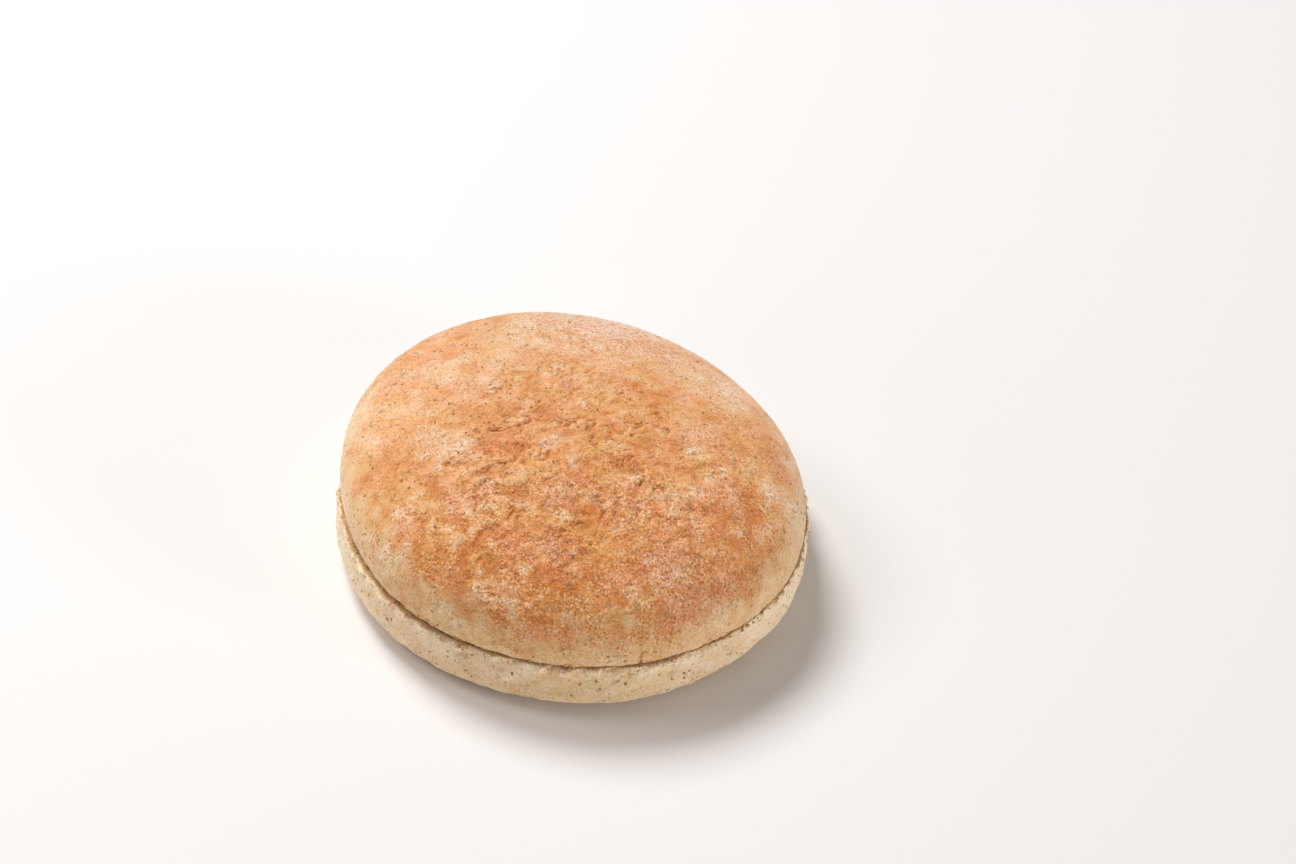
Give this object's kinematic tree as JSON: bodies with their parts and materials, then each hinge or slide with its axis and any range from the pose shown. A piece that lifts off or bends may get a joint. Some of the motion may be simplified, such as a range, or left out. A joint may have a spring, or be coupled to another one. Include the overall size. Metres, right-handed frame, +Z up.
{
  "type": "hamburger bun",
  "caption": "Round wholemeal hamburger bun, sliced level: a domed, lightly floured crown lying on a flat-bottomed heel, ready to be opened and filled.",
  "frame": {"origin": "on the surface the bun stands on, under the middle of its box", "axes": "+Z up through the crown, -Y towards the front that the picture shows, +X to that view's right"},
  "size_m": [0.1122, 0.1128, 0.0425],
  "materials": {
    "crown_crust": "golden brown baked crust, matte, with a thin dusting of flour",
    "heel_crust": "pale baked crust, matte"
  },
  "bodies": {
    "root": {"crown": "crown_crust", "heel": "heel_crust"}
  },
  "joints": []
}
